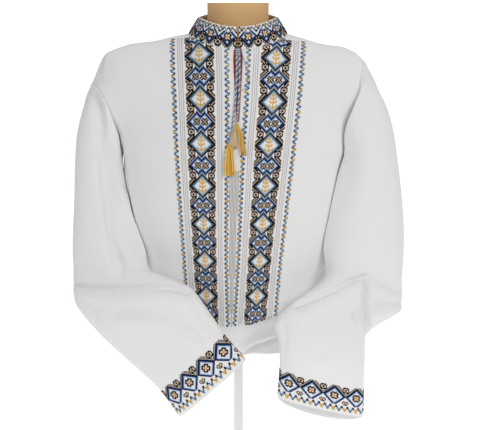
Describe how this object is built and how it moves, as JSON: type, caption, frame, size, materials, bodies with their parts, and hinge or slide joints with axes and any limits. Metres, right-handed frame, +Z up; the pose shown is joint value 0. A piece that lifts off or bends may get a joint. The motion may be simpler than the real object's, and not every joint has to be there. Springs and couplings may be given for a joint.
{
  "type": "embroidered shirt on a dress form",
  "caption": "White linen folk shirt with geometric cross-stitch bands, collar and cuffs, tassel ties at the neck slit, on a tan dress form with a slim stand.",
  "frame": {"origin": "centre of the base's flat underside", "axes": "+Z up, -Y towards the shirt's front, +X towards the wearer's left side"},
  "size_m": [0.7161, 0.4145, 1.16],
  "materials": {
    "linen": "matt woven linen",
    "form_cover": "smooth tan cover",
    "pale_enamel": "semi-gloss enamel",
    "cord_yarn": "twisted yarn",
    "tassel_yarn": "loose yarn"
  },
  "bodies": {
    "root": {"front": "linen", "back": "linen", "sleeve_right": "linen", "sleeve_left": "linen", "collar": "linen", "cord_right": "cord_yarn", "cord_left": "cord_yarn", "tassel_right": "tassel_yarn", "tassel_left": "tassel_yarn", "form_torso": "form_cover", "form_neck": "form_cover", "stand_pole": "pale_enamel", "stand_base": "pale_enamel"}
  },
  "joints": []
}
